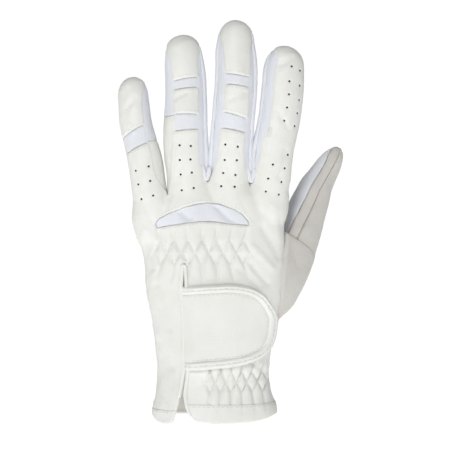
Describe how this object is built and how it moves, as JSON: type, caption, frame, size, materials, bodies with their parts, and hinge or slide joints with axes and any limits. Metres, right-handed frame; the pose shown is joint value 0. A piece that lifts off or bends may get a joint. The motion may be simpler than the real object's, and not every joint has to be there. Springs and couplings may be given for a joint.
{
  "type": "horse riding glove",
  "caption": "Left leather riding glove with stretch vents between the fingers, gathered back and cuff, and a strap closure over a slit.",
  "frame": {"origin": "middle of the wrist opening, level with the lowest point of the cuff", "axes": "+Z from the cuff to the fingertips, +X towards the thumb, -Y out of the back of the hand"},
  "size_m": [0.1232, 0.0585, 0.2216],
  "materials": {
    "back_leather": "soft semi-matt",
    "palm_leather": "soft matt",
    "stretch_fabric": "fine knit",
    "binding": "smooth, stitched",
    "hook_and_loop": "loop pile"
  },
  "bodies": {
    "root": {"back_panel": "back_leather", "side_strip_little_ring": "back_leather", "little_tip_back": "back_leather", "ring_tip_back": "back_leather", "ring_joint_back": "back_leather", "middle_tip_back": "back_leather", "middle_joint_back": "back_leather", "index_back": "back_leather", "flap_hem": "back_leather", "cuff_hem": "back_leather", "closure_strap": "back_leather", "palm_panel": "palm_leather", "little_front": "palm_leather", "ring_front": "palm_leather", "middle_front": "palm_leather", "index_front": "palm_leather", "thumb_base": "palm_leather", "thumb_panel": "palm_leather", "thumb_strip": "palm_leather", "little_side_stretch": "stretch_fabric", "ring_side_stretch": "stretch_fabric", "fourchette_ring_middle": "stretch_fabric", "fourchette_middle_index": "stretch_fabric", "little_band": "stretch_fabric", "ring_band_upper": "stretch_fabric", "ring_band_lower": "stretch_fabric", "middle_band_upper": "stretch_fabric", "middle_band_lower": "stretch_fabric", "knuckle_vent": "stretch_fabric", "thumb_gusset": "stretch_fabric", "slit_binding": "binding", "strap_binding": "binding", "closure_pad": "hook_and_loop"}
  },
  "joints": []
}
